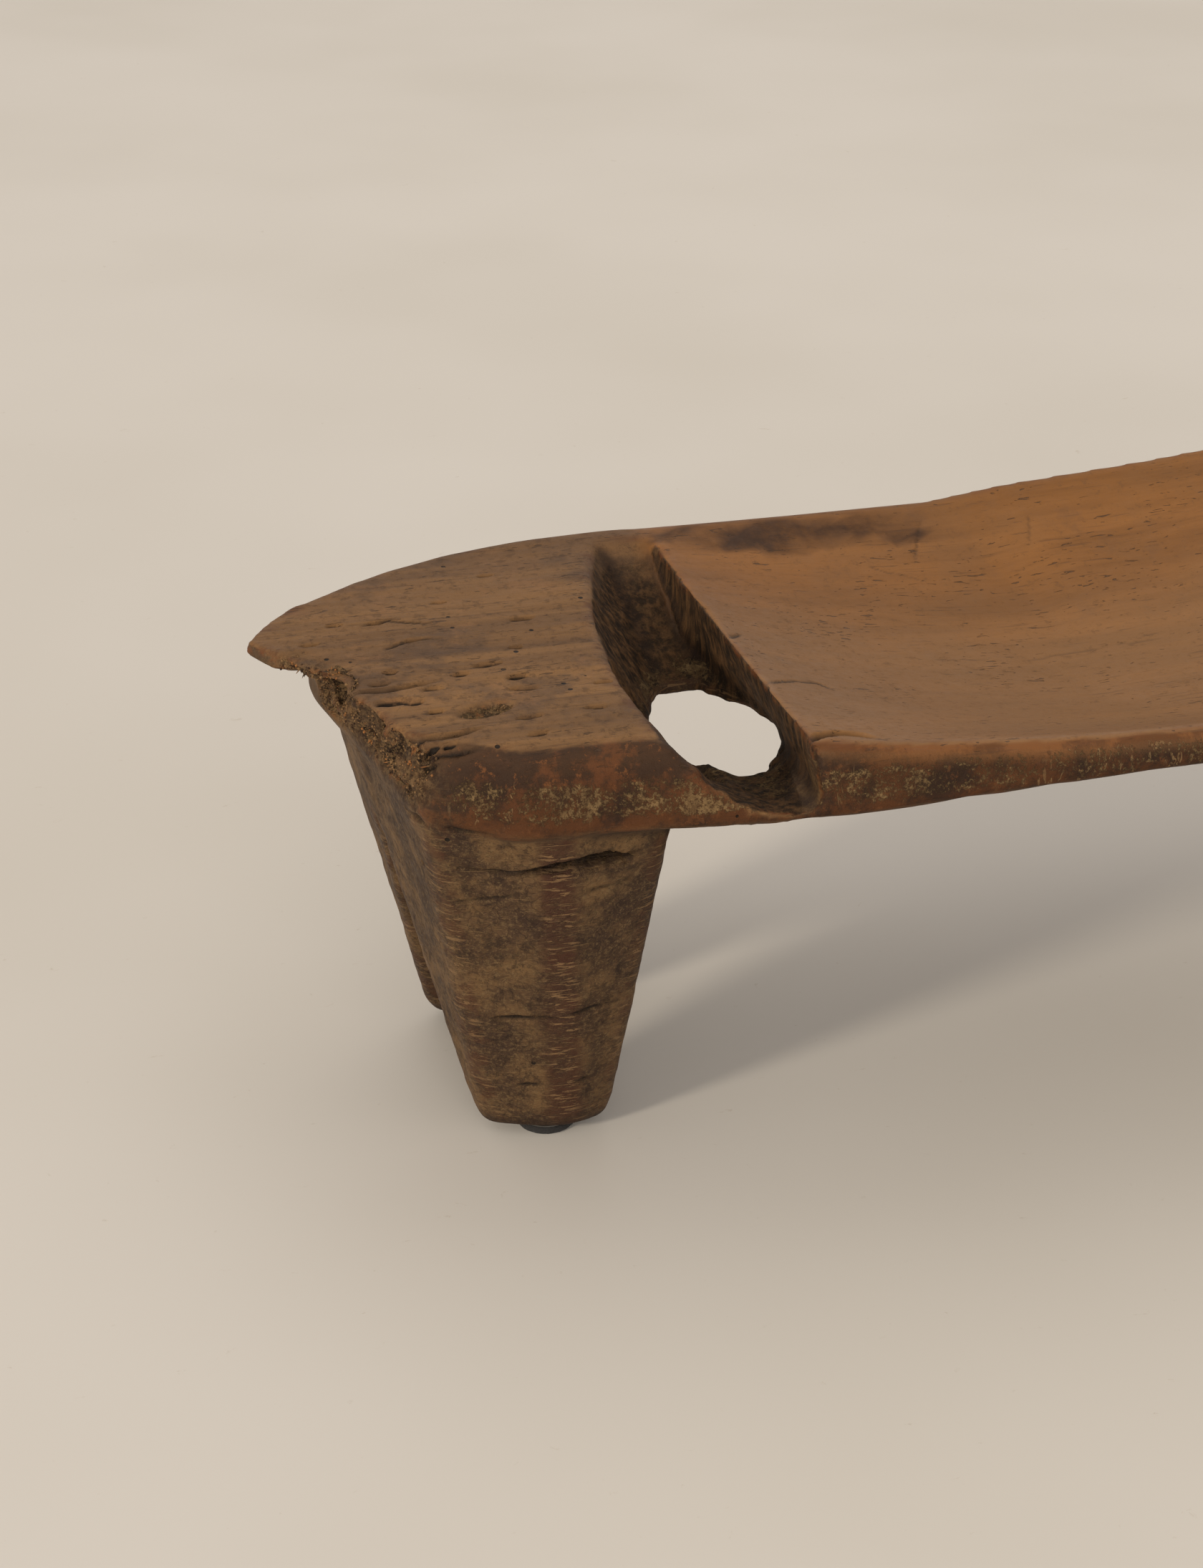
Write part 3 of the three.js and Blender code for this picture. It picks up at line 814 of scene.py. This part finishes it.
# Slot walls: nearly black, streaked down the cut.
down = noise_of(tree, 1.0, 6.0, 0.72, (260.0, 260.0, 22.0))
slot_tone = tint(tree, between(tree, down, 0.40, 0.64), (0.016, 0.008, 0.0028, 1), (0.105, 0.050, 0.018, 1))
slot_tone = tint(
    tree, part_of(tree, between(tree, small, 0.56, 0.66), 0.4), slot_tone, (0.120, 0.068, 0.028, 1)
)
colour = tint(tree, mask["fascia"], leg_tone, side_tone)
colour = tint(tree, mask["block_top"], colour, top_tone)
lip_tone = tint(
    tree, between(tree, middling, 0.49, 0.59), (0.026, 0.011, 0.005, 1), (0.088, 0.028, 0.008, 1)
)
lip_tone = tint(
    tree, part_of(tree, between(tree, small, 0.56, 0.63), 0.6), lip_tone, (0.190, 0.068, 0.020, 1)
)
colour = tint(tree, part_of(tree, mask["lip"], 0.9), colour, lip_tone)
colour = tint(tree, mask["dish"], colour, dish_tone)
under_tone = tint(tree, streaks, (0.055, 0.030, 0.015, 1), (0.098, 0.055, 0.026, 1))
colour = tint(tree, mask["underside"], colour, under_tone)
colour = tint(tree, mask["slot_wall"], colour, slot_tone)
# Rubbed arrises show the orange wood; inner corners are darkened with painted shade.
rub_noise = between(tree, noise_of(tree, 85.0, 7.0, 0.75, (0.5, 1.2, 1.2)), 0.47, 0.60)
rub = maths(tree, "MULTIPLY", mask["rubbed"], rub_noise)
rub = maths(tree, "MULTIPLY", rub, rest_of(tree, mask["foot"], 0.8))
rub = maths(tree, "MULTIPLY", rub, rest_of(tree, mask["dish"], 0.5))
rub = maths(tree, "MULTIPLY", rub, rest_of(tree, mask["lip"], 0.8))
rub = maths(tree, "MULTIPLY", rub, rest_of(tree, mask["fascia"], 0.45))
rub_tone = tint(tree, mask["block_top"], (0.135, 0.042, 0.011, 1), (0.100, 0.037, 0.013, 1))
rub_tone = tint(tree, mask["leg"], rub_tone, (0.066, 0.026, 0.011, 1))
colour = tint(tree, part_of(tree, rub, 0.75), colour, rub_tone)
# Painted shade: inner corners darkened towards black brown.
colour = tint(tree, part_of(tree, mask["corner_shade"], 0.6), colour, (0.022, 0.011, 0.006, 1))
# The front arris of the worn leg is dark red. It and the rubbed arrises are crossed by short nicks.
nick = between(tree, noise_of(tree, 1.0, 4.0, 0.65, (95.0, 95.0, 800.0), warp=0.8), 0.54, 0.575)
arris = maths(
    tree, "MAXIMUM", mask["ridge"], part_of(tree, maths(tree, "MULTIPLY", mask["rubbed"], mask["leg"]), 0.8)
)
ridge_share = maths(tree, "MULTIPLY", mask["ridge"], between(tree, middling, 0.38, 0.58, 0.3, 0.95))
colour = tint(tree, ridge_share, colour, (0.050, 0.017, 0.008, 1))
colour = tint(
    tree, part_of(tree, maths(tree, "MULTIPLY", nick, arris), 0.62), colour, (0.230, 0.130, 0.056, 1)
)
# The fascia's short curved nicks, cut across the grain.
notch = between(tree, noise_of(tree, 1.0, 3.0, 0.6, (330.0, 330.0, 95.0), warp=1.4), 0.585, 0.62)
notch = maths(tree, "MULTIPLY", notch, between(tree, big, 0.45, 0.55))
colour = tint(
    tree,
    part_of(tree, maths(tree, "MULTIPLY", notch, mask["crust"]), 0.65),
    colour,
    (0.220, 0.130, 0.055, 1),
)
# Purple brown stain in the far corner of the dish, and dark foot edges.
colour = tint(
    tree,
    maths(tree, "MULTIPLY", mask["stain"], between(tree, middling, 0.3, 0.6, 0.55, 0.95)),
    colour,
    (0.036, 0.017, 0.009, 1),
)
colour = tint(tree, part_of(tree, mask["foot"], 0.8), colour, (0.026, 0.012, 0.006, 1))
# Scars.
dent_amount = maths(tree, "ADD", part_of(tree, mask["dish"], 0.55), part_of(tree, mask["block_top"], 0.6))
tree.links.new(dent_amount, scars.inputs["Dents"])
tree.links.new(maths(tree, "ADD", 0.10, part_of(tree, mask["block_top"], 0.35)), scars.inputs["Holes"])
flat_tops = maths(tree, "MAXIMUM", mask["dish"], mask["block_top"])
dents = maths(tree, "MULTIPLY", scars.outputs["Dents"], flat_tops)
holes = maths(tree, "MULTIPLY", scars.outputs["Holes"], rest_of(tree, mask["dish"], 0.95))
colour = tint(tree, part_of(tree, dents, 0.75), colour, (0.060, 0.031, 0.015, 1))
colour = tint(tree, part_of(tree, pores, 0.34), colour, (0.050, 0.025, 0.012, 1))
# Dust.
dust = add(tree, "ShaderNodeGroup", node_tree=dry_dust)
dusty = maths(tree, "ADD", part_of(tree, mask["crust"], 0.76), part_of(tree, mask["leg"], 0.40))
dusty = maths(tree, "ADD", dusty, part_of(tree, mask["pit"], 1.3))
dusty = maths(tree, "ADD", dusty, part_of(tree, mask["eroded"], 0.5))
dusty = maths(tree, "ADD", dusty, part_of(tree, mask["slot_wall"], 0.36))
dusty = maths(tree, "SUBTRACT", dusty, part_of(tree, mask["foot"], 0.5))
tree.links.new(maths(tree, "SUBTRACT", dusty, part_of(tree, mask["rubbed"], 0.45)), dust.inputs["Amount"])
dust_share = part_of(tree, dust.outputs["Mask"], 0.72)
dust_tone = tint(tree, between(tree, small, 0.42, 0.60), (0.110, 0.064, 0.027, 1), (0.235, 0.148, 0.064, 1))
colour = tint(tree, dust_share, colour, dust_tone)
# Eaten wood: dark crumbs, with fresh orange fibres.
crumb = noise_of(tree, 420.0, 4.0, 0.8)
fresh = between(tree, noise_of(tree, 95.0, 4.0, 0.65, shift=(7.7, 0.2, 1.9)), 0.57, 0.64)
eaten = tint(tree, between(tree, crumb, 0.43, 0.60), (0.018, 0.010, 0.005, 1), (0.190, 0.112, 0.050, 1))
eaten = tint(tree, part_of(tree, fresh, 0.75), eaten, (0.250, 0.092, 0.026, 1))
rotten = maths(tree, "MAXIMUM", mask["eroded"], part_of(tree, mask["pit"], 0.85))
colour = tint(tree, part_of(tree, rotten, 0.85), colour, eaten)
# Painted shade: the insides of cracks, the gaping mouth, insect galleries and holes are coloured near black.
hollow_shade = maths(tree, "MAXIMUM", mask["crack"], between(tree, mask["gallery"], 0.25, 0.65))
hollow_shade = maths(tree, "MAXIMUM", hollow_shade, holes)
hollow_shade_tone = tint(
    tree, between(tree, small, 0.54, 0.68), (0.007, 0.004, 0.002, 1), (0.085, 0.044, 0.019, 1)
)
colour = tint(tree, part_of(tree, hollow_shade, 0.95), colour, hollow_shade_tone)
tree.links.new(colour, shader.inputs["Base Color"])
# Gloss: the dish is polished by heads, the crust and the eaten wood are dry.
gloss = maths(tree, "ADD", 0.62, part_of(tree, mask["dish"], -0.17))
gloss = maths(
    tree, "ADD", gloss, part_of(tree, maths(tree, "MAXIMUM", mask["stain"], mask["slot_wall"]), 0.2)
)
gloss = maths(tree, "ADD", gloss, part_of(tree, mask["rubbed"], -0.08))
gloss = maths(tree, "ADD", gloss, part_of(tree, maths(tree, "MAXIMUM", mask["eroded"], dust_share), 0.35))
gloss = maths(tree, "ADD", gloss, part_of(tree, maths(tree, "SUBTRACT", small, 0.5), 0.5), True)
tree.links.new(gloss, shader.inputs["Roughness"])
shader.inputs["Specular IOR Level"].default_value = 0.17
# Relief too fine for the carving: fibres, dents, nicks, dust grains, crumbs.
relief = maths(tree, "MULTIPLY", grain_height, between(tree, mask["dish"], 0.0, 1.0, 0.60, 0.18))
for height, where, share in (
    (dents, flat_tops, -0.6),
    (holes, holes, -1.5),
    (dust.outputs["Height"], dust_share, 1.2),
    (nick, arris, -0.8),
    (notch, mask["crust"], -0.8),
    (crumb, rotten, 3.0),
    (down, mask["slot_wall"], 2.2),
    (small, mask["leg"], 1.5),
    (small, mask["fascia"], 1.5),
    (hatching, mask["leg"], -0.35),
    (crackle, mask["leg"], -0.25),
    (speckle, rest_of(tree, mask["dish"]), 0.5),
):
    relief = maths(tree, "ADD", relief, part_of(tree, maths(tree, "MULTIPLY", height, where), share))
bump = add(tree, "ShaderNodeBump", {"Height": relief, "Strength": 1.0, "Distance": 0.0007})
tree.links.new(bump.outputs[0], shader.inputs["Normal"])
headrest.data.materials.clear()
headrest.data.materials.append(wood)
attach(headrest, "root")
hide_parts("carved_body")

# ---- crumbs and frayed fibres: what the insects left on the eaten strip and in the pit, grains of
# chewed wood lying where they fell and torn fibres that stand out of the broken edge. ----
crumb_tree = bpy.data.node_groups.new("strewn_bits", "GeometryNodeTree")
sockets = {}
for label, kind, default in (
    ("Geometry", "NodeSocketGeometry", None),
    ("Bits Per Square Metre", "NodeSocketFloat", 60000.0),
    ("Width", "NodeSocketFloat", 0.0006),
    ("Length", "NodeSocketFloat", 0.0008),
    ("Seed", "NodeSocketInt", 1),
    ("Material", "NodeSocketMaterial", None),
):
    sockets[label] = crumb_tree.interface.new_socket(label, in_out="INPUT", socket_type=kind)
    if default is not None:
        sockets[label].default_value = default
crumb_tree.interface.new_socket("Geometry", in_out="OUTPUT", socket_type="NodeSocketGeometry")
given, put = crumb_tree.nodes.new("NodeGroupInput"), crumb_tree.nodes.new("NodeGroupOutput")
spots = add(
    crumb_tree,
    "GeometryNodeDistributePointsOnFaces",
    {
        "Mesh": given.outputs["Geometry"],
        "Density": given.outputs["Bits Per Square Metre"],
        "Seed": given.outputs["Seed"],
    },
)
grain_of = add(crumb_tree, "GeometryNodeMeshIcoSphere", {"Radius": 1.0, "Subdivisions": 1})
lumps = add(crumb_tree, "ShaderNodeTexNoise", {"Scale": 1.3, "Detail": 1.0})
lumpy = add(
    crumb_tree,
    "ShaderNodeVectorMath",
    {0: lumps.outputs["Color"], 1: (0.5, 0.5, 0.5)},
    operation="SUBTRACT",
)
rough_bit = add(
    crumb_tree,
    "GeometryNodeSetPosition",
    {"Geometry": grain_of.outputs["Mesh"], "Offset": lumpy.outputs[0]},
)
thick = add(
    crumb_tree,
    "ShaderNodeCombineXYZ",
    {0: given.outputs["Width"], 1: given.outputs["Width"], 2: given.outputs["Length"]},
)
spread = add(
    crumb_tree,
    "FunctionNodeRandomValue",
    {2: 0.45, 3: 1.5, "Seed": given.outputs["Seed"]},
    data_type="FLOAT",
)
sized = add(
    crumb_tree, "ShaderNodeVectorMath", {0: thick.outputs[0], "Scale": spread.outputs[1]}, operation="SCALE"
)
lean = add(
    crumb_tree,
    "FunctionNodeRandomValue",
    {0: (-0.9, -0.9, 0.0), 1: (0.9, 0.9, 6.28), "Seed": given.outputs["Seed"]},
    data_type="FLOAT_VECTOR",
)
leaning = add(
    crumb_tree,
    "FunctionNodeRotateRotation",
    {0: spots.outputs["Rotation"], 1: lean.outputs[0]},
    rotation_space="LOCAL",
)
strewn = add(
    crumb_tree,
    "GeometryNodeInstanceOnPoints",
    {
        "Points": spots.outputs["Points"],
        "Instance": rough_bit.outputs[0],
        "Rotation": leaning.outputs[0],
        "Scale": sized.outputs[0],
    },
)
real = add(crumb_tree, "GeometryNodeRealizeInstances", {"Geometry": strewn.outputs[0]})
coloured = add(
    crumb_tree,
    "GeometryNodeSetMaterial",
    {"Geometry": real.outputs[0], "Material": given.outputs["Material"]},
)
crumb_tree.links.new(coloured.outputs[0], put.inputs[0])
chewed, tree, shader = new_material("chewed_wood")
piece_tone = noise_of(tree, 160.0, 3.0, 0.7)
chewed_tone = tint(
    tree, between(tree, piece_tone, 0.40, 0.60), (0.030, 0.015, 0.008, 1), (0.190, 0.105, 0.045, 1)
)
chewed_tone = tint(
    tree,
    between(tree, noise_of(tree, 90.0, 2.0, 0.6, shift=(4.0, 0.0, 9.0)), 0.58, 0.64),
    chewed_tone,
    (0.270, 0.110, 0.034, 1),
)
tree.links.new(chewed_tone, shader.inputs["Base Color"])
shader.inputs["Roughness"].default_value = 0.9
shader.inputs["Specular IOR Level"].default_value = 0.2
corners_of = np.zeros(len(headrest.data.loops), np.int32)
headrest.data.loops.foreach_get("vertex_index", corners_of)
corners_of = corners_of.reshape(-1, 3)
thin_points = np.zeros(len(headrest.data.vertices) * 3)
headrest.data.vertices.foreach_get("co", thin_points)
thin_points = thin_points.reshape(-1, 3) * 1000
loose = np.maximum(erosion, 0.7 * pit)[nearest]
for name, least, amount, width, length, seed in (
    ("chewed_crumbs", 0.25, 230000.0, 0.00042, 0.00055, 5),
    ("frayed_fibres", 0.5, 60000.0, 0.00020, 0.0019, 9),
):
    chosen_faces = corners_of[(loose[corners_of] > least).all(1)]
    used, renamed = np.unique(chosen_faces, return_inverse=True)
    ground = mesh_of(name, thin_points[used], renamed.reshape(-1, 3))
    bits = bpy.data.objects.new(name, ground)
    scene.collection.objects.link(bits)
    strew = bits.modifiers.new("strew", "NODES")
    strew.node_group = crumb_tree
    strew[sockets["Bits Per Square Metre"].identifier] = amount
    strew[sockets["Width"].identifier] = width
    strew[sockets["Length"].identifier] = length
    strew[sockets["Seed"].identifier] = seed
    strew[sockets["Material"].identifier] = chewed
    bits.data = bpy.data.meshes.new_from_object(bits.evaluated_get(bpy.context.evaluated_depsgraph_get()))
    bits.modifiers.clear()
    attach(bits, "root")

# ---- felt pads: modern discs punched from pressed black wool felt, one under each foot, their
# rims a little frayed. Each is stuck to its foot by the adhesive disc above it. Millimetres. ----
felt, tree, shader = new_material("pressed_felt")
fibres = noise_of(tree, 1100.0, 4.0, 0.8, warp=1.2)
tree.links.new(
    tint(tree, fibres, (0.008, 0.007, 0.007, 1), (0.050, 0.046, 0.043, 1)), shader.inputs["Base Color"]
)
shader.inputs["Roughness"].default_value = 0.95
shader.inputs["Sheen Weight"].default_value = 0.05
shader.inputs["Specular IOR Level"].default_value = 0.1
bump = add(tree, "ShaderNodeBump", {"Height": fibres, "Strength": 0.9, "Distance": 0.0005})
tree.links.new(bump.outputs[0], shader.inputs["Normal"])
pad_names = sorted(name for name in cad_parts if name.startswith("felt_pad"))
for number, name in enumerate(pad_names):
    low, high = (np.array(corner) * 1000 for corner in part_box(name))
    middle, radius, thick = (low + high) / 2, (high[0] - low[0]) / 2, high[2] - low[2]
    # Half of the disc's section: share of the radius, share of the thickness.
    profile = [
        (0.0, 0.0),
        (0.5, 0.0),
        (0.86, 0.0),
        (0.955, 0.05),
        (0.99, 0.2),
        (1.0, 0.45),
        (0.99, 0.75),
        (0.95, 0.95),
        (0.86, 1.0),
        (0.5, 1.0),
        (0.0, 1.0),
    ]
    around_count = 72
    points, quads = [], []
    for share, rise in profile:
        for k in range(around_count):
            angle = 2 * math.pi * k / around_count
            points.append(
                (
                    middle[0] + share * radius * math.cos(angle),
                    middle[1] + share * radius * math.sin(angle),
                    low[2] + rise * thick,
                )
            )
    for row in range(len(profile) - 1):
        for k in range(around_count):
            a, b = row * around_count + k, row * around_count + (k + 1) % around_count
            quads.append((a, b, b + around_count, a + around_count))
    points = np.array(points)
    outward = points - middle
    frayed = rolling(points, (1.6, 1.6, 1.2), 80 + number, 2)
    edge = step(np.hypot(outward[:, 0], outward[:, 1]) / radius, 0.8, 0.97)
    points[:, :2] -= outward[:, :2] / radius * (edge * (0.25 + 0.25 * frayed))[:, None]
    pad_mesh = mesh_of("felt_disc", points, np.array(quads)[:, ::-1])
    pad = bpy.data.objects.new(name.replace("felt_pad", "felt_disc"), pad_mesh)
    scene.collection.objects.link(pad)
    pad_mesh.materials.append(felt)
    pad_mesh.polygons.foreach_set("use_smooth", np.ones(len(pad_mesh.polygons), bool))
    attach(pad, "root")
    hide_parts(name)

# ---- adhesive discs: thin double-sided tape, cut round, that holds each pad to its foot. The
# frame's own discs are kept and given their tape here. ----
tape, tree, shader = new_material("pad_tape")
haze = noise_of(tree, 260.0, 3.0)
tree.links.new(
    tint(tree, haze, (0.030, 0.027, 0.023, 1), (0.070, 0.062, 0.052, 1)), shader.inputs["Base Color"]
)
tree.links.new(between(tree, haze, 0.3, 0.7, 0.35, 0.6), shader.inputs["Roughness"])
for name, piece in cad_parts.items():
    if "adhesive" in name:
        piece.data.materials.clear()
        piece.data.materials.append(tape)
